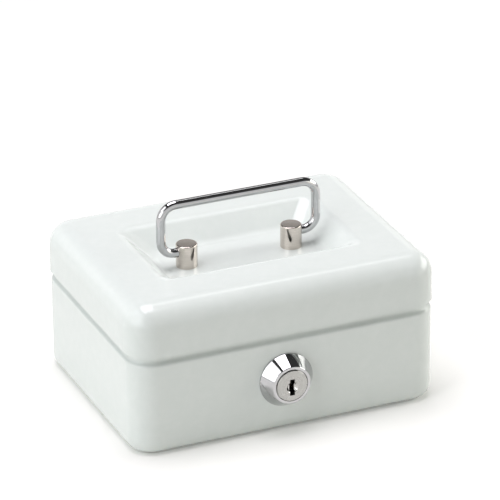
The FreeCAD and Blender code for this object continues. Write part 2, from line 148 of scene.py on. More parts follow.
paper = bpy.data.materials.new("pale paper")
paper.use_nodes = True
tree = paper.node_tree
tree.nodes.clear()
glow = add_node(tree, "ShaderNodeMath", {0: shown_rays(tree), 1: floor_glow}, operation="MULTIPLY")
pale = add_node(tree, "ShaderNodeBsdfDiffuse", {"Color": paper_colour})
shine = add_node(tree, "ShaderNodeEmission", {"Color": glow_colour, "Strength": glow.outputs[0]})
both = add_node(tree, "ShaderNodeAddShader", {0: pale.outputs[0], 1: shine.outputs[0]})
add_node(tree, "ShaderNodeOutputMaterial", {"Surface": both.outputs[0]})
floor_mesh.materials.append(paper)
print("floor", floor_size, "m across")

# %% [markdown]
# Soft studio light comes from large soft boxes at the left, overhead and at the right, with a strip
# behind and a faint warm fill at the front right. Bright metal shows the room rather than itself, so
# where the boxes end matters as much as where they are: the gap between the left box and the overhead
# one draws the dark streak down the lock's cone, and the dark ceiling between the overhead box and the
# right one draws the black band along the handle's bar, which the strip edges with a light line.

# %% Light
def softbox(name, place, aim, width, height, brightness, tint):
    """Rectangular lamp of an even brightness, turned to face a point."""
    lamp = bpy.data.lights.new(name, "AREA")
    lamp.shape = "RECTANGLE"
    lamp.size = width
    lamp.size_y = height
    lamp.energy = brightness * math.pi * width * height
    lamp.color = tint
    holder = bpy.data.objects.new(name, lamp)
    facing = (Vector(aim) - Vector(place)).to_track_quat("-Z", "Y").to_matrix().to_4x4()
    holder.matrix_world = Matrix.Translation(place) @ facing
    scene.collection.objects.link(holder)
    return holder


subject = (0, 0, 0.03)
lamps = [
    softbox("left_softbox", (-0.862, 0.0, 0.885), subject, 1.20, 0.62, 2.1, (0.98, 0.975, 1.0)),
    softbox("left_low_softbox", (-1.08, -0.40, 0.387), subject, 1.10, 0.61, 1.9, (0.96, 0.99, 1.0)),
    softbox("overhead_softbox", (-0.055, 0.17, 1.25), (-0.055, 0.17, 0), 0.80, 0.88, 5.35,
            (0.99, 0.95, 1.0)),
    softbox("rear_strip", (0.49, 0.55, 1.25), (0.49, 0.55, 0), 0.30, 0.26, 2.5, (1.0, 1.0, 1.0)),
    softbox("right_low_softbox", (0.86, -0.06, 0.36), (0.0, -0.04, 0.03), 0.76, 0.36, 4.2,
            (1.0, 1.0, 0.96)),
    softbox("front_right_softbox", (0.75, -0.75, 0.22), subject, 0.45, 0.36, 1.1, (1.0, 0.95, 0.78))]
print("lit by", ", ".join(lamp.name for lamp in lamps))

# %% [markdown]
# The world is the room round the lamps: dim walls under a dark ceiling, shaded by how high a ray
# looks. The camera, metal and glass see the same walls as white paper, which puts no more light on
# the box. Walls of real mesh would do the same, but would shade the lamps that stand outside them.

# %% Room
FIRST_COLOUR, SECOND_COLOUR, MIXED_COLOUR = 6, 7, 2


def blend_colours(tree, mask, low, high):
    """Colour that a mask carries from one to another."""
    sockets = {"Factor": mask, FIRST_COLOUR: low, SECOND_COLOUR: high}
    return add_node(tree, "ShaderNodeMix", sockets, data_type="RGBA").outputs[MIXED_COLOUR]


room = bpy.data.worlds.new("studio room")
scene.world = room
room.use_nodes = True
tree = room.node_tree
tree.nodes.clear()
looking = add_node(tree, "ShaderNodeTexCoord")
direction = add_node(tree, "ShaderNodeSeparateXYZ", {"Vector": looking.outputs["Generated"]})


def walls_by_height(shades):
    """Grey of the room's walls and ceiling at each height of a ray, from level to straight up."""
    ramp = add_node(tree, "ShaderNodeValToRGB", {"Fac": direction.outputs["Z"]})
    stops = ramp.color_ramp.elements
    for height, _ in shades[1:-1]:
        stops.new(height)
    for stop, (_, shade) in zip(stops, shades):
        stop.color = (shade, shade, shade, 1)
    return ramp.outputs["Color"]


dim_walls = walls_by_height(((0.0, 0.08), (0.40, 0.08), (0.60, 0.05), (1.0, 0.04)))
paper_walls = walls_by_height(((0.0, 1.0), (0.32, 0.95), (0.42, 0.40), (0.48, 0.30), (0.60, 0.06),
                               (1.0, 0.05)))
walls = blend_colours(tree, shown_rays(tree), dim_walls, paper_walls)
background = add_node(tree, "ShaderNodeBackground", {"Color": walls, "Strength": 1.0})
add_node(tree, "ShaderNodeOutputWorld", {"Surface": background.outputs[0]})
print("room", room.name, "has", len(tree.nodes), "nodes")

# %% [markdown]
# Several finishes share the same small faults: faint smudges from handling, the fine ripple of a
# sprayed skin, the rings that a lathe leaves and hair scratches. Each is a node group, built once,
# that reads a place on the piece and puts out a mask or a height. A picture of scratches would need
# unwrapping, and would blur close up.

# %% Shared effects
def effect_group(name, outputs):
    """Node group that reads a place and how fine to draw there, with its inputs and outputs."""
    group = bpy.data.node_groups.new(name, "ShaderNodeTree")
    for socket_name, kind in (("Place", "NodeSocketVector"), ("Per metre", "NodeSocketFloat")):
        group.interface.new_socket(socket_name, in_out="INPUT", socket_type=kind)
    for socket_name in outputs:
        group.interface.new_socket(socket_name, in_out="OUTPUT", socket_type="NodeSocketFloat")
    return group, group.nodes.new("NodeGroupInput").outputs, group.nodes.new("NodeGroupOutput").inputs


smudges, given, result = effect_group("handling smudges", ["Smudge"])
cloud = add_node(smudges, "ShaderNodeTexNoise", {
    "Vector": given["Place"], "Scale": given["Per metre"], "Detail": 5.0, "Roughness": 0.6})
smear = add_node(smudges, "ShaderNodeMapRange", {
    "Value": cloud.outputs["Fac"], "From Min": 0.42, "From Max": 0.72})
smudges.links.new(smear.outputs["Result"], result["Smudge"])

ripple, given, result = effect_group("sprayed ripple", ["Height"])
skin = add_node(ripple, "ShaderNodeTexNoise", {
    "Vector": given["Place"], "Scale": given["Per metre"], "Detail": 1.5, "Roughness": 0.4})
ripple.links.new(skin.outputs["Fac"], result["Height"])

rings, given, result = effect_group("turned rings", ["Height", "Shade"])
across = add_node(rings, "ShaderNodeSeparateXYZ", {"Vector": given["Place"]})
level = add_node(rings, "ShaderNodeCombineXYZ", {"X": across.outputs["X"], "Y": across.outputs["Y"]})
radius = add_node(rings, "ShaderNodeVectorMath", {0: level.outputs["Vector"]}, operation="LENGTH")
track = add_node(rings, "ShaderNodeCombineXYZ", {"X": radius.outputs["Value"], "Y": across.outputs["Z"]})
lines = add_node(rings, "ShaderNodeTexNoise", {
    "Vector": track.outputs["Vector"], "Scale": given["Per metre"], "Detail": 3.0}, noise_dimensions="2D")
bands = add_node(rings, "ShaderNodeMapRange", {
    "Value": lines.outputs["Fac"], "From Min": 0.35, "From Max": 0.65})
rings.links.new(lines.outputs["Fac"], result["Height"])
rings.links.new(bands.outputs["Result"], result["Shade"])

scratches, given, result = effect_group("hair scratches", ["Height"])
drawn = add_node(scratches, "ShaderNodeMapping", {
    "Vector": given["Place"], "Scale": (1.0, 0.06, 1.0), "Rotation": (0.3, 0.5, 0.8)})
hairs = add_node(scratches, "ShaderNodeTexNoise", {
    "Vector": drawn.outputs["Vector"], "Scale": given["Per metre"], "Detail": 3.0})
scratches.links.new(hairs.outputs["Fac"], result["Height"])
print("shared effects:", [group.name for group in bpy.data.node_groups])

# %% [markdown]
# Each finish is one Principled shader. What changes over the surface, colour, roughness and the
# finest relief, comes from masks and heights such as the groups give; what is the same all over is
# set on the shader itself. The helpers start a finish with the place on the piece, turned and centred
# where a pattern has an axis, and let a mask lead each of the three.

# %% Helpers for finishes
micrometre = 0.001 * millimetre


def start_finish(name, metallic, centre=(0, 0, 0), turn=(0, 0, 0)):
    """New material with a Principled shader and a place in the piece's own metres."""
    finish = bpy.data.materials.new(name)
    finish.use_nodes = True
    tree = finish.node_tree
    tree.nodes.clear()
    shader = add_node(tree, "ShaderNodeBsdfPrincipled", {"Metallic": metallic})
    add_node(tree, "ShaderNodeOutputMaterial", {"Surface": shader.outputs[0]})
    place = add_node(tree, "ShaderNodeTexCoord").outputs["Object"]
    moved = add_node(tree, "ShaderNodeVectorMath", {0: place, 1: centre}, operation="SUBTRACT")
    turned = add_node(tree, "ShaderNodeMapping", {"Vector": moved.outputs["Vector"], "Rotation": turn})
    return finish, tree, shader, turned.outputs["Vector"]


def effect(tree, group, place, per_metre):
    """One shared effect placed in a finish at its own fineness."""
    sockets = {"Place": place, "Per metre": per_metre}
    return add_node(tree, "ShaderNodeGroup", sockets, node_tree=group).outputs


def colour_by(tree, shader, mask, low, high):
    """Base colour that a mask carries from one colour to another."""
    blend = blend_colours(tree, mask, (*low, 1), (*high, 1))
    tree.links.new(blend, shader.inputs["Base Color"])


def roughness_by(tree, shader, mask, low, high):
    """Roughness that a mask carries from low to high."""
    span = add_node(tree, "ShaderNodeMapRange", {"Value": mask, "To Min": low, "To Max": high})
    tree.links.new(span.outputs["Result"], shader.inputs["Roughness"])


def relief_by(tree, shader, height, depth):
    """Fine relief of a real depth in metres."""
    bump = add_node(tree, "ShaderNodeBump", {"Height": height, "Strength": 1.0, "Distance": depth})
    tree.links.new(bump.outputs["Normal"], shader.inputs["Normal"])


print("finish helpers ready, depths in steps of", micrometre, "m")

# %% [markdown]
# The box is sprayed and baked with a gloss white enamel, a very slightly grey green white. Up close
# such a coat has a fine ripple, a little mottle in its colour and patches where handling has dulled
# the gloss. A plain white would look like paper; the ripple and the uneven gloss make it paint on
# steel.

# %% White enamel
enamel, tree, shader, place = start_finish("gloss white enamel", metallic=0.0)
smudge = effect(tree, smudges, place, per_metre=45.0)["Smudge"]
mottle = effect(tree, smudges, place, per_metre=260.0)["Smudge"]
peel = effect(tree, ripple, place, per_metre=650.0)["Height"]
colour_by(tree, shader, mottle, low=(0.775, 0.826, 0.791), high=(0.797, 0.844, 0.811))
roughness_by(tree, shader, smudge, low=0.09, high=0.17)
relief_by(tree, shader, peel, depth=3 * micrometre)
shader.inputs["IOR"].default_value = 1.5
print("made", enamel.name)

# %% [markdown]
# Handle wire and lock bezel are plated with bright chrome: a cold mirror with faint smudges and hair
# scratches. The smudges change its roughness and the scratches its relief, because a mirror shows
# faults in its reflections and hardly in its colour.

# %% Bright chrome
chrome, tree, shader, place = start_finish("bright chrome", metallic=1.0)
smudge = effect(tree, smudges, place, per_metre=220.0)["Smudge"]
hairs = effect(tree, scratches, place, per_metre=1500.0)["Height"]
colour_by(tree, shader, smudge, low=(0.52, 0.52, 0.528), high=(0.48, 0.48, 0.48))
roughness_by(tree, shader, smudge, low=0.04, high=0.11)
relief_by(tree, shader, hairs, depth=0.2 * micrometre)
print("made", chrome.name)

# %% [markdown]
# Posts and plug are turned on a lathe and nickel plated. Nickel is warmer and softer than chrome, and the
# tool leaves fine rings round each axis, on the end faces and along the sides. The same rings serve every
# turned piece, so a function makes the finish for a given axis. The posts' colours add a painted pink cast
# to nickel's own warmth, standing in for the reflection of a hand held over them.

# %% Turned nickel
clean_gain = 0.05
smudge_loss = 0.07


def turned_nickel(name, centre, turn, low, high, rough, ring_depth):
    """Nickel with lathe rings about an axis through a place."""
    finish, tree, shader, place = start_finish(name, metallic=1.0, centre=centre, turn=turn)
    smudge = effect(tree, smudges, place, per_metre=300.0)["Smudge"]
    lathe = effect(tree, rings, place, per_metre=5000.0)
    colour_by(tree, shader, lathe["Shade"], low, high)
    roughness_by(tree, shader, smudge, rough - clean_gain, rough + smudge_loss)
    relief_by(tree, shader, lathe["Height"], ring_depth)
    return finish


print("turned nickel ready")

# %% [markdown]
# Nut, washers, cam, screw and pins are bright zinc plated, with the faint frosty spangle of zinc and
# the scratches of tightening. The wafers are stamped brass. A plain grey and a plain yellow metal
# would do from afar; the spangle, smudges and scratches keep them real close up.

# %% Zinc and brass
zinc, tree, shader, place = start_finish("bright zinc", metallic=1.0)
hairs = effect(tree, scratches, place, per_metre=1100.0)["Height"]
frost = add_node(tree, "ShaderNodeTexVoronoi", {"Vector": place, "Scale": 1400.0}).outputs["Color"]
frost = add_node(tree, "ShaderNodeSeparateColor", {"Color": frost}).outputs["Red"]
colour_by(tree, shader, frost, low=(0.60, 0.61, 0.63), high=(0.70, 0.71, 0.72))
roughness_by(tree, shader, frost, low=0.26, high=0.40)
relief_by(tree, shader, hairs, depth=2 * micrometre)

brass, tree, shader, place = start_finish("stamped brass", metallic=1.0)
smudge = effect(tree, smudges, place, per_metre=400.0)["Smudge"]
hairs = effect(tree, scratches, place, per_metre=1600.0)["Height"]
colour_by(tree, shader, smudge, low=(0.80, 0.62, 0.30), high=(0.66, 0.47, 0.20))
roughness_by(tree, shader, smudge, low=0.22, high=0.42)
relief_by(tree, shader, hairs, depth=2 * micrometre)
print("made", zinc.name, "and", brass.name)

# %% [markdown]
# Most pieces are a line that is carried along a path: a section drawn like a pen stroke, then pulled
# straight or turned about an axis. These helpers draw with two of Blender's own moves, extrude for a
# straight stretch and spin for a round one, first on a single vertex and then on the whole line.

# %% Drawing helpers
quarter = math.pi / 2
hair = 1e-6


def verts_of(items):
    """The vertices among what an operator returns."""
    return [item for item in items if isinstance(item, bmesh.types.BMVert)]


def edges_of(items):
    """The edges among what an operator returns."""
    return [item for item in items if isinstance(item, bmesh.types.BMEdge)]


def draw_line(shape, tip, step):
    """Extrude one vertex along a straight step, and return the new tip."""
    tip = bmesh.ops.extrude_vert_indiv(shape, verts=[tip])["verts"][0]
    bmesh.ops.translate(shape, verts=[tip], vec=step)
    return tip


def draw_arc(shape, tip, centre, axis, turn, steps):
    """Spin one vertex about an axis, and return the new tip."""
    last = bmesh.ops.spin(shape, geom=[tip], cent=centre, axis=axis, angle=turn, steps=steps)
    return verts_of(last["geom_last"])[0]


def pull(shape, line, step):
    """Extrude a line of edges along a straight step, and return the new line."""
    made = bmesh.ops.extrude_edge_only(shape, edges=edges_of(line))["geom"]
    front = verts_of(made)
    bmesh.ops.translate(shape, verts=front, vec=step)
    ahead = set(front)
    return front + [edge for edge in edges_of(made) if ahead.issuperset(edge.verts)]


def bend(shape, line, centre, axis, turn, steps):
    """Spin a line of edges about an axis, and return the new line."""
    return bmesh.ops.spin(shape, geom=line, cent=centre, axis=axis, angle=turn, steps=steps)["geom_last"]


def fresh_line(shape):
    """The line that was drawn last: vertices and edges that carry no face yet."""
    return [v for v in shape.verts if not v.link_faces] + [e for e in shape.edges if not e.link_faces]


def close_skin(shape):
    """Merge doubled vertices and turn all faces outwards."""
    bmesh.ops.remove_doubles(shape, verts=shape.verts, dist=hair)
    bmesh.ops.recalc_face_normals(shape, faces=shape.faces)


def open_edges(shape, test=lambda middle: True):
    """Border edges of a skin whose middle passes a test."""
    border = [edge for edge in shape.edges if edge.is_boundary]
    return [edge for edge in border if test((edge.verts[0].co + edge.verts[1].co) / 2)]


print("drawing helpers ready")

# %% [markdown]
# A hole in a skin could be cut with a Boolean and a second object. Every opening of this box is
# convex, so it is simpler to slice the faces along the planes of its outline, one bisect for each,
# and delete what lies inside them all. Holes and slots give their planes by one rule: a slot is a
# circle whose two halves stand apart.

# %% Cutting helpers
hole_sides = 24
cosine_digits = 6


def with_borders(faces):
    """Faces with their edges and vertices, each of them once."""
    return list(dict.fromkeys(item for face in faces for item in (face, *face.edges, *face.verts)))


def carve(shape, faces, planes):
    """Cut faces along the planes of a convex opening, and delete what lies inside all of them."""
    inside = list(faces)
    for point, outward in planes:
        cut = bmesh.ops.bisect_plane(shape, geom=with_borders(inside), dist=hair,
                                     plane_co=point, plane_no=outward)["geom"]
        kept = [item for item in cut if isinstance(item, bmesh.types.BMFace)]
        inside = [face for face in kept if (face.calc_center_median() - point).dot(outward) < 0]
    bmesh.ops.delete(shape, geom=inside, context="FACES")


def round_opening(centre, along, upward, radius, half_gap=0.0):
    """Planes of a round hole, or of a slot with round ends, about a centre."""
    planes = []
    for index in range(hole_sides):
        turn = 2 * math.pi * index / hole_sides
        side = round(math.cos(turn), cosine_digits)
        outward = side * along + math.sin(turn) * upward
        end = math.copysign(half_gap, side) if side else 0.0
        planes.append((centre + end * along + radius * outward, outward))
    return planes


def both_sides(centre, half_gap, along):
    """Two planes that face apart, half a gap either side of a centre."""
    return [(centre + half_gap * along, along), (centre - half_gap * along, -along)]


print("cutting helpers ready, holes have", hole_sides, "sides")

# %% [markdown]
# A finished skin becomes an object: shaded smooth, with a Bevel that gives cut edges the small round
# that plating or paint leaves, and with normals led by the large flat faces, so that flat walls stay
# flat in the gloss. It rides on its body and stands for its CAD node.

# %% Helper to show a piece
sharp_turn = math.radians(38)
soft_edge_segments = 3


def show_piece(name, shape, body, nodes, finish, soft_edge):
    """Turn a bmesh into an object with softened edges that rides on a body and stands for CAD nodes."""
    mesh = bpy.data.meshes.new(name)
    shape.to_mesh(mesh)
    shape.free()
    if "custom_normal" in mesh.attributes:
        mesh.attributes.remove(mesh.attributes["custom_normal"])
    mesh.shade_smooth()
    mesh.materials.append(finish)
    piece = bpy.data.objects.new(name, mesh)
    scene.collection.objects.link(piece)
    bevel = piece.modifiers.new("soft edges", "BEVEL")
    bevel.width = soft_edge
    bevel.segments = soft_edge_segments
    bevel.limit_method = "ANGLE"
    bevel.angle_limit = sharp_turn
    flats = piece.modifiers.new("flat faces lead", "WEIGHTED_NORMAL")
    flats.keep_sharp = True
    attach(piece, body)
    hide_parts(*nodes)
    print(name, "has", len(mesh.polygons), "faces and stands for", ", ".join(nodes))
    return piece


print("edges sharper than", round(math.degrees(sharp_turn)), "degrees are softened")

# %% [markdown]
# Body and lid are drawn from one sheet each. A pressed wall has the same section all the way round,
# so the section is drawn once, at one corner of the plan, and carried round: spun a quarter turn at
# each corner and pulled along each side. A cube with bevels could not give the shoulder's S curve.

# %% Helper to carry a section round the box
corner_steps = 16
plan_sides = ((1, 1, -2, 0), (-1, 1, 0, -2), (-1, -1, 2, 0), (1, -1, 0, 2))


def carry_round(shape, corner_x, corner_y):
    """Carry the line drawn last round a plan whose four corner axes stand at plus and minus a place."""
    line = fresh_line(shape)
    for side_x, side_y, step_x, step_y in plan_sides:
        axis_place = (side_x * corner_x, side_y * corner_y, 0)
        line = bend(shape, line, axis_place, UP, quarter, corner_steps)
        line = pull(shape, line, (step_x * corner_x, step_y * corner_y, 0))
    close_skin(shape)


print("corners are spun in", corner_steps, "steps")

# %% [markdown]
# The body is a tray. Its wall rises from a rounded base edge, curves in over a soft shoulder and
# stands up as a neck inside the lid. The base closes the loop that the section leaves at the bottom.
# It is drawn as a thin skin first, the outside of the sheet.

# %% Body pressing
corner_radius = 10 * millimetre
base_edge_radius = 5 * millimetre
shoulder_bottom = 36.5 * millimetre
shoulder_rise = 2.7 * millimetre
neck_inset = 1.55 * millimetre
base_edge_steps = 8
shoulder_steps = 6
ROUND_OUT = Vector((0, -1, 0))
ROUND_IN = Vector((0, 1, 0))

body_low, body_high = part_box("body_shell")
corner_x = body_high.x - corner_radius
corner_y = body_high.y - corner_radius
shoulder_turn = 2 * math.atan2(neck_inset, shoulder_rise)
shoulder_radius = shoulder_rise / 2 / math.sin(shoulder_turn)
wall_side = body_high.x - shoulder_radius
neck_side = body_high.x - neck_inset + shoulder_radius
neck_bottom = shoulder_bottom + shoulder_rise

shape = bmesh.new()
tip = shape.verts.new((body_high.x - base_edge_radius, corner_y, body_low.z))
tip = draw_arc(shape, tip, (tip.co.x, corner_y, base_edge_radius), ROUND_OUT, quarter, base_edge_steps)
tip = draw_line(shape, tip, (0, 0, shoulder_bottom - base_edge_radius))
tip = draw_arc(shape, tip, (wall_side, corner_y, tip.co.z), ROUND_OUT, shoulder_turn, shoulder_steps)
tip = draw_arc(shape, tip, (neck_side, corner_y, neck_bottom), ROUND_IN, shoulder_turn, shoulder_steps)
tip = draw_line(shape, tip, (0, 0, body_high.z - tip.co.z))
carry_round(shape, corner_x, corner_y)
bmesh.ops.edgeloop_fill(shape, edges=open_edges(shape, lambda middle: middle.z < hair))
print("body skin has", len(shape.faces), "faces")

# %% [markdown]
# The front wall has the hole for the lock, with two flats that keep the barrel from turning, and the
# rear wall has a notch at each hinge. They are carved while the skin is thin, where each cut passes
# one layer only, and then the skin gets its thickness towards the inside.

# %% Openings and thickness of the body
sheet = 0.9 * millimetre
edge_round = 0.2 * millimetre
barrel_radius = 8.5 * millimetre
barrel_half_flats = 7.5 * millimetre
hole_clearance = 0.1 * millimetre
notch_clearance = 0.6 * millimetre
straight_on = 0.99
ACROSS = Vector((1, 0, 0))
BACK = Vector((0, 1, 0))

lock_low, lock_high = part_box("lock_housing")
lock_x = (lock_low.x + lock_high.x) / 2
lock_z = (lock_low.z + lock_high.z) / 2
front_face = body_low.y
lock_axis = Vector((lock_x, front_face, lock_z))
lock_planes = round_opening(lock_axis, ACROSS, UP, barrel_radius + hole_clearance)
lock_planes += both_sides(lock_axis, barrel_half_flats + hole_clearance, ACROSS)
carve(shape, [face for face in shape.faces if face.normal.y < -straight_on], lock_planes)
for side in ("left", "right"):
    pin_low, pin_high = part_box("hinge_pin_" + side)
    knuckle_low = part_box("hinge_lid_leaf_" + side)[0].z
    notch = [(Vector((pin_low.x - notch_clearance, 0, 0)), -ACROSS),
             (Vector((pin_high.x + notch_clearance, 0, 0)), ACROSS),
             (Vector((0, 0, knuckle_low - notch_clearance)), -UP)]
    carve(shape, [face for face in shape.faces if face.calc_center_median().y > corner_y], notch)
bmesh.ops.solidify(shape, geom=shape.faces[:], thickness=sheet)
show_piece("body_pressing", shape, "body", ["body_shell"], enamel, edge_round)

# %% [markdown]
# The lid is a shallow cover with well rounded edges and a sloping well for the handle. Its outer wall
# and top edge are a section carried round the plan. The well's corners keep one radius from rim to
# floor, as a punch with rounded corners leaves them, so a section carried round would open them too
# wide: instead the top loop is pulled in over the level land to the rim and then sunk step by step,
# each corner sliding in towards the middle. A fill makes the floor.

# %% Lid pressing
lid_edge_radius = 9 * millimetre
lid_edge_steps = 14
well_width = 85 * millimetre
well_length = 51.5 * millimetre
well_depth = 8 * millimetre
well_angle = math.radians(42)
well_rim_radius = 5 * millimetre
well_floor_radius = 6 * millimetre
well_corner_radius = 5 * millimetre
well_bend_steps = 8

lid_low, lid_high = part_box("lid_shell")
well_floor = lid_high.z - well_depth
both_bends = well_rim_radius + well_floor_radius
slope_fall = well_depth - both_bends * (1 - math.cos(well_angle))
well_run = both_bends * math.sin(well_angle) + slope_fall / math.tan(well_angle)
turns = [well_angle * step / well_bend_steps for step in range(well_bend_steps + 1)]


def bend_curve(radius):
    """How far in and how far down a bend of the well's wall goes, from level to its slope."""
    return [(radius * math.sin(turn), radius * (1 - math.cos(turn))) for turn in turns]


wall = bend_curve(well_rim_radius)
wall += [(well_run - inward, well_depth - fall) for inward, fall in reversed(bend_curve(well_floor_radius))]

shape = bmesh.new()
tip = shape.verts.new((lid_high.x, corner_y, lid_low.z))
tip = draw_line(shape, tip, (0, 0, lid_high.z - lid_edge_radius - lid_low.z))
edge_centre = (tip.co.x - lid_edge_radius, corner_y, tip.co.z)
draw_arc(shape, tip, edge_centre, ROUND_OUT, quarter, lid_edge_steps)
carry_round(shape, corner_x, corner_y)

rim_x = well_width / 2 - well_corner_radius
rim_y = well_length / 2 - well_corner_radius
spread = well_corner_radius / (lid_high.x - lid_edge_radius - corner_x)
rim = pull(shape, open_edges(shape, lambda middle: middle.z > lid_high.z - hair), (0, 0, 0))
for vert in verts_of(rim):
    side_x = math.copysign(1, vert.co.x)
    side_y = math.copysign(1, vert.co.y)
    vert.co.x = side_x * rim_x + (vert.co.x - side_x * corner_x) * spread
    vert.co.y = side_y * rim_y + (vert.co.y - side_y * corner_y) * spread
for (inward, fall), (next_inward, next_fall) in zip(wall, wall[1:]):
    rim = pull(shape, rim, (0, 0, fall - next_fall))
    for vert in verts_of(rim):
        vert.co.x -= math.copysign(next_inward - inward, vert.co.x)
        vert.co.y -= math.copysign(next_inward - inward, vert.co.y)
bmesh.ops.edgeloop_fill(shape, edges=open_edges(shape, lambda middle: abs(middle.z - well_floor) < hair))
close_skin(shape)
print("lid skin has", len(shape.faces), "faces")

# %% [markdown]
# The well's floor has a long slot with round ends near the front and a hole for the tail of each
# post. As with the body, they are carved out of the thin skin, which then gets its thickness.

# %% Openings and thickness of the lid
slot_length = 36 * millimetre
slot_width = 4.6 * millimetre
slot_place = -12.6 * millimetre
tail_hole_radius = 2.05 * millimetre


def well_faces():
    """Faces in the lower half of the well, where its openings are."""
    middles = [(face, face.calc_center_median()) for face in shape.faces]
    low = [(face, middle) for face, middle in middles if middle.z < lid_high.z - well_depth / 2]
    return [face for face, middle in low if abs(middle.y) < well_length / 2]


slot_centre = Vector((0, slot_place, well_floor))
slot_planes = round_opening(slot_centre, ACROSS, BACK, slot_width / 2, (slot_length - slot_width) / 2)
carve(shape, well_faces(), slot_planes)
post_places = {}
for side in ("left", "right"):
    post_low, post_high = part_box("handle_post_" + side)
    post_places[side] = Vector(((post_low.x + post_high.x) / 2, 0, well_floor))
    carve(shape, well_faces(), round_opening(post_places[side], ACROSS, BACK, tail_hole_radius))
bmesh.ops.solidify(shape, geom=shape.faces[:], thickness=sheet)
show_piece("lid_pressing", shape, "lid", ["lid_shell"], enamel, edge_round)

# %% [markdown]
# The handle is one length of round wire with four bends, its ends turned in to the posts. A curve
# with a round bevel would do as well; here a circle is pulled and spun along the wire's own path,
# which keeps every bend a true arc.

# %% Bail handle
wire_radius = 1.8 * millimetre
foot_bend = 5.3 * millimetre
top_bend = 6 * millimetre
pivot_z = 58.6 * millimetre
wire_tip = 19.9 * millimetre
wire_end_round = 0.3 * millimetre
wire_sides = 32
bend_steps = 12

handle_low, handle_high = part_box("handle")
leg_x = handle_high.x - wire_radius
bar_z = handle_high.z - wire_radius
shape = bmesh.new()
start = Matrix.Translation((-wire_tip, 0, pivot_z)) @ Matrix.Rotation(quarter, 4, "Y")
bmesh.ops.create_circle(shape, segments=wire_sides, radius=wire_radius, matrix=start)
line = shape.verts[:] + shape.edges[:]
line = pull(shape, line, (wire_tip + foot_bend - leg_x, 0, 0))
line = bend(shape, line, (foot_bend - leg_x, 0, pivot_z + foot_bend), BACK, quarter, bend_steps)
line = pull(shape, line, (0, 0, bar_z - top_bend - pivot_z - foot_bend))
line = bend(shape, line, (top_bend - leg_x, 0, bar_z - top_bend), BACK, quarter, bend_steps)
line = pull(shape, line, (2 * (leg_x - top_bend), 0, 0))
line = bend(shape, line, (leg_x - top_bend, 0, bar_z - top_bend), BACK, quarter, bend_steps)
line = pull(shape, line, (0, 0, pivot_z + foot_bend - bar_z + top_bend))
line = bend(shape, line, (leg_x - foot_bend, 0, pivot_z + foot_bend), BACK, quarter, bend_steps)
pull(shape, line, (wire_tip - leg_x + foot_bend, 0, 0))
for side in (-1, 1):
    bmesh.ops.edgeloop_fill(shape, edges=open_edges(shape, lambda middle: middle.x * side > 0))
close_skin(shape)
show_piece("bail_handle", shape, "handle", ["handle"], chrome, wire_end_round)

# %% [markdown]
# Each post is turned from bar: a head with a rounded top edge, a tail through the lid and a rivet
# head under it. The outline is drawn from the axis outwards and spun a full turn. The bore for the
# wire is carved in the side that faces outwards, and its rim is pulled in to make the hole's wall.

# %% Handle posts
post_round = 0.5 * millimetre
post_round_steps = 4
post_edge_round = 0.12 * millimetre
post_tail_radius = 2 * millimetre
rivet_radius = 3.2 * millimetre
rivet_height = 1.2 * millimetre
bore_radius = 1.88 * millimetre
bore_depth = 6.4 * millimetre
bore_side = 0.3
turned_steps = 72


def spin_about(shape, centre, axis):
    """Spin the line drawn last a full turn and close its seam and poles."""
    bmesh.ops.spin(shape, geom=fresh_line(shape), cent=centre, axis=axis, angle=2 * math.pi,
                   steps=turned_steps, use_merge=True)
    close_skin(shape)


def handle_post(side, outward):
    """Turned post with its rivet head and its bore."""
    low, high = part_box("handle_post_" + side)
    axis_x = post_places[side].x
    head_radius = (high.x - low.x) / 2
    shape = bmesh.new()
    tip = shape.verts.new((axis_x, 0, high.z))
    tip = draw_line(shape, tip, (head_radius - post_round, 0, 0))
    tip = draw_arc(shape, tip, (tip.co.x, 0, high.z - post_round), BACK, quarter, post_round_steps)
    tip = draw_line(shape, tip, (0, 0, well_floor - tip.co.z))
    tip = draw_line(shape, tip, (post_tail_radius - head_radius, 0, 0))
    tip = draw_line(shape, tip, (0, 0, low.z + rivet_height - well_floor))
    tip = draw_line(shape, tip, (rivet_radius - post_tail_radius, 0, 0))
    tip = draw_line(shape, tip, (0, 0, -rivet_height))
    draw_line(shape, tip, (-rivet_radius, 0, 0))
    spin_about(shape, (axis_x, 0, 0), UP)
    head = [face for face in shape.faces if face.calc_center_median().z > well_floor]
    facing = [face for face in head if face.normal.x * outward > bore_side]
    carve(shape, facing, round_opening(Vector((axis_x, 0, pivot_z)), BACK, UP, bore_radius))
    line = pull(shape, open_edges(shape), (-outward * bore_depth, 0, 0))
    bmesh.ops.edgeloop_fill(shape, edges=edges_of(line))
    close_skin(shape)
    # The post colours are nickel's own warm tone plus a painted pink cast that stands in for a reflected
    # hand.
    finish = turned_nickel("turned nickel " + side, (axis_x, 0, 0), (0, 0, 0), low=(0.55, 0.50, 0.455),
                           high=(0.68, 0.62, 0.57), rough=0.16, ring_depth=0.6 * micrometre)
    show_piece("turned_post_" + side, shape, "lid", ["handle_post_" + side], finish,
               post_edge_round)


handle_post("left", -1)
handle_post("right", 1)

# %% [markdown]
# The lock's bezel is a turned cone with a narrow flat face, in one piece with the barrel behind the
# wall. Its outline is drawn straight above the lock's axis, with true arcs where the face meets the
# cone and at the rim, and spun about that axis. A cone with bevelled edges would need the same sizes.

# %% Lock bezel
bezel_rim = 0.6 * millimetre
bezel_face_radius = 7.6 * millimetre
face_round = 0.5 * millimetre
face_round_steps = 8
rim_round = 0.3 * millimetre
rim_round_steps = 3
plug_bore = 6.45 * millimetre
bore_lip = 0.15 * millimetre

face_y = lock_low.y
barrel_end = lock_high.y
bezel_radius = lock_high.x - lock_x
cone = Vector((0, front_face - bezel_rim - face_y, bezel_radius - bezel_face_radius))
cone_lean = math.atan2(cone.z, cone.y)
face_turn = quarter - cone_lean
face_cut = face_round * math.tan(face_turn / 2)
rim_cut = rim_round * math.tan(cone_lean / 2)
cone_run = cone.normalized() * (cone.length - face_cut - rim_cut)


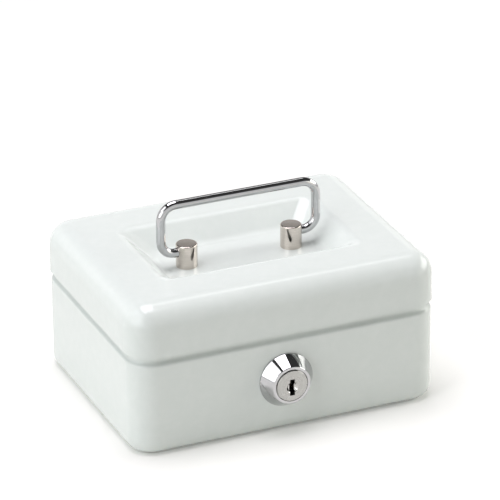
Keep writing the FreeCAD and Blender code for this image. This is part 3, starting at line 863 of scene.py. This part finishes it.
def on_lock(radius, y):
    """Point beside the lock's axis, straight above it."""
    return Vector((lock_x, y, lock_z + radius))


shape = bmesh.new()
tip = shape.verts.new(on_lock(plug_bore, front_face))
tip = draw_line(shape, tip, (0, face_y + bore_lip - front_face, 0))
tip = draw_line(shape, tip, (0, -bore_lip, bore_lip))
tip = draw_line(shape, tip, (0, 0, bezel_face_radius - face_cut - plug_bore - bore_lip))
tip = draw_arc(shape, tip, tip.co + Vector((0, face_round, 0)), -ACROSS, face_turn, face_round_steps)
tip = draw_line(shape, tip, cone_run)
rim_centre = on_lock(bezel_radius - rim_round, front_face - bezel_rim + rim_cut)
tip = draw_arc(shape, tip, rim_centre, -ACROSS, cone_lean, rim_round_steps)
tip = draw_line(shape, tip, (0, front_face - tip.co.y, 0))
draw_line(shape, tip, (0, 0, plug_bore - bezel_radius))
spin_about(shape, lock_axis, BACK)
bezel_faces = set(shape.faces)
print("bezel has", len(bezel_faces), "faces")

# %% [markdown]
# Behind the wall the barrel has a thread for the nut, with two flats along it. The thread is drawn as
# rings, which at this size look like a thread; a true helix would take many more faces. The flats are
# sliced off with bisect and filled.

# %% Threaded barrel
stem_bore = 5.65 * millimetre
thread_pitch = 1 * millimetre
thread_depth = 0.5 * millimetre
thread_start = front_face + 2 * sheet
thread_rings = int((barrel_end - thread_start) / thread_pitch)

tip = shape.verts.new(on_lock(stem_bore, barrel_end))
tip = draw_line(shape, tip, (0, front_face - barrel_end, 0))
tip = draw_line(shape, tip, (0, 0, barrel_radius - stem_bore))
tip = draw_line(shape, tip, (0, thread_start - front_face, 0))
for _ in range(thread_rings):
    tip = draw_line(shape, tip, (0, thread_pitch / 2, -thread_depth))
    tip = draw_line(shape, tip, (0, thread_pitch / 2, thread_depth))
tip = draw_line(shape, tip, (0, barrel_end - tip.co.y, 0))
draw_line(shape, tip, (0, 0, stem_bore - barrel_radius))
spin_about(shape, lock_axis, BACK)
for outward in (-ACROSS, ACROSS):
    barrel = [face for face in shape.faces if face not in bezel_faces]
    flat_place = lock_axis + barrel_half_flats * outward
    cut = bmesh.ops.bisect_plane(shape, geom=with_borders(barrel), dist=hair, plane_co=flat_place,
                                 plane_no=outward, clear_outer=True)["geom_cut"]
    bmesh.ops.edgeloop_fill(shape, edges=edges_of(cut))
print("barrel has", thread_rings, "rings of thread")

# %% [markdown]
# Inside the barrel two grooves take the wafers at either end of the plug's turn. A groove is carved
# out of the bore and of both ends at once, and what it leaves open at the two ends is bridged, which
# makes its floor and walls.

# %% Wafer grooves of the barrel
groove_half = 2.5 * millimetre
groove_depth = 5.7 * millimetre
bezel_edge_round = 0.05 * millimetre


def at_barrel_end(middle):
    """Whether a place lies in the plane of one of the barrel's ends."""
    return min(abs(middle.y - front_face), abs(middle.y - barrel_end)) < hair


for downward, sideways in ((-UP, ACROSS), (-ACROSS, UP)):
    groove = both_sides(lock_axis, groove_half, sideways)
    groove += [(lock_axis + groove_depth * downward, downward), (lock_axis, -downward)]
    carve(shape, [face for face in shape.faces if face not in bezel_faces], groove)
    bmesh.ops.bridge_loops(shape, edges=open_edges(shape, at_barrel_end))
close_skin(shape)
show_piece("lock_bezel", shape, "body", ["lock_housing"], chrome, bezel_edge_round)

# %% [markdown]
# The plug turns in the barrel. It is spun from its outline, with a narrow relief behind the edge of
# its face that keeps a dark line round it. A plain cylinder would all but fill its bore, and the line
# would be lost.

# %% Lock plug
plug_edge = 0.1 * millimetre
plug_relief = 0.22 * millimetre
relief_depth = 0.8 * millimetre
plug_head_end = -50.65 * millimetre
stem_radius = 5.6 * millimetre
stem_stand_out = 0.2 * millimetre

plug_low, plug_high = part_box("lock_plug")
plug_head_radius = plug_high.x - lock_x
plug_face = plug_low.y
stem_end = barrel_end + stem_stand_out

shape = bmesh.new()
tip = shape.verts.new(on_lock(0, plug_face))
tip = draw_line(shape, tip, (0, 0, plug_head_radius - plug_relief - plug_edge))
tip = draw_line(shape, tip, (0, plug_edge, plug_edge))
tip = draw_line(shape, tip, (0, relief_depth, 0))
tip = draw_line(shape, tip, (0, 0, plug_relief))
tip = draw_line(shape, tip, (0, plug_head_end - tip.co.y, 0))
tip = draw_line(shape, tip, (0, 0, stem_radius - plug_head_radius))
tip = draw_line(shape, tip, (0, stem_end - tip.co.y, 0))
draw_line(shape, tip, (0, 0, -stem_radius))
spin_about(shape, lock_axis, BACK)
print("plug has", len(shape.faces), "faces before its keyway")

# %% [markdown]
# The plug's face is satin nickel with a keyway: an upright slot with a round countersunk mouth that
# leads the key in. The mouth is carved and pulled in to a cone, which is polished brighter than the
# face, and the slot is carved through the cone and pulled back into the dark. A square end behind
# carries the cam.

# %% Keyway and its mouth
mouth_radius = 2.3 * millimetre
mouth_end_radius = 1.5 * millimetre
mouth_depth = 0.9 * millimetre
key_drop = 0.7 * millimetre
key_half_width = 1 * millimetre
key_half_height = 3.3 * millimetre
key_depth = 11 * millimetre
square_half = 3 * millimetre
plug_edge_round = 0.06 * millimetre
mouth_finish = 1

key_axis = Vector((lock_x, plug_face, lock_z - key_drop))
narrowing = mouth_end_radius / mouth_radius


def faces_before(depth):
    """Faces of the plug no deeper behind its face than a depth."""
    return [face for face in shape.faces if face.calc_center_median().y < plug_face + depth + hair]


carve(shape, faces_before(0), round_opening(key_axis, ACROSS, UP, mouth_radius))
satin_faces = set(shape.faces)
line = pull(shape, open_edges(shape), (0, mouth_depth, 0))
bmesh.ops.scale(shape, verts=verts_of(line), vec=(narrowing, 1, narrowing),
                space=Matrix.Translation(-key_axis))
bmesh.ops.edgeloop_fill(shape, edges=edges_of(line))
for face in set(shape.faces) - satin_faces:
    face.material_index = mouth_finish
key_planes = both_sides(key_axis, key_half_width, ACROSS) + both_sides(key_axis, key_half_height, UP)
carve(shape, faces_before(mouth_depth), key_planes)
line = pull(shape, open_edges(shape), (0, key_depth, 0))
bmesh.ops.edgeloop_fill(shape, edges=edges_of(line))
close_skin(shape)
square = Matrix.Translation((lock_x, (stem_end + plug_high.y) / 2, lock_z))
square @= Matrix.Diagonal((2 * square_half, plug_high.y - stem_end, 2 * square_half, 1))
bmesh.ops.create_cube(shape, size=1, matrix=square)

toward_front = (quarter, 0, 0)
face_nickel = turned_nickel("satin nickel face", (lock_x, 0, lock_z), toward_front, low=(0.41, 0.408, 0.39),
                            high=(0.48, 0.478, 0.458), rough=0.30, ring_depth=0.2 * micrometre)
mouth_nickel = turned_nickel("bright nickel mouth", (lock_x, 0, key_axis.z), toward_front,
                             low=(0.50, 0.49, 0.47), high=(0.58, 0.57, 0.55), rough=0.10,
                             ring_depth=0.2 * micrometre)
turned_plug = show_piece("turned_plug", shape, "lock_rotor", ["lock_plug"], face_nickel,
                         plug_edge_round)
turned_plug.data.materials.append(mouth_nickel)

# %% [markdown]
# The hidden hardware already has its full shape in CAD: hinge leaves and pins, nut and washers, cam,
# screw, strike and wafers. A copy of each mesh is merged, its flat faces are joined again, and its
# edges get the small round of stamped or plated metal. Drawing them anew would only repeat the solids.

# %% Small hardware
hardware = [
    ("body", "white_paint", enamel, ["hinge_body_leaf_left", "hinge_body_leaf_right"]),
    ("lid", "white_paint", enamel, ["hinge_lid_leaf_left", "hinge_lid_leaf_right"]),
    ("body", "zinc_steel", zinc, ["hinge_pin_left", "hinge_pin_right"]),
    ("lid", "white_paint", enamel, ["strike_bracket"]),
    ("lid", "zinc_steel", zinc, ["post_washers"]),
    ("body", "zinc_steel", zinc, ["lock_washer", "lock_nut"]),
    ("lock_rotor", "zinc_steel", zinc, ["lock_cam", "cam_washer", "cam_screw"]),
    ("wafers", "brass", brass, ["lock_wafers"])]
flat_turn = math.radians(0.5)
small_round = 0.1 * millimetre

for body_name, slot_name, finish, node_names in hardware:
    for node_name in node_names:
        shape = bmesh.new()
        shape.from_mesh(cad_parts[node_name].data)
        bmesh.ops.remove_doubles(shape, verts=shape.verts, dist=hair)
        bmesh.ops.dissolve_limit(shape, angle_limit=flat_turn, verts=shape.verts, edges=shape.edges)
        show_piece("dressed_" + node_name, shape, body_name, [node_name], finish, small_round)

# %% [markdown]
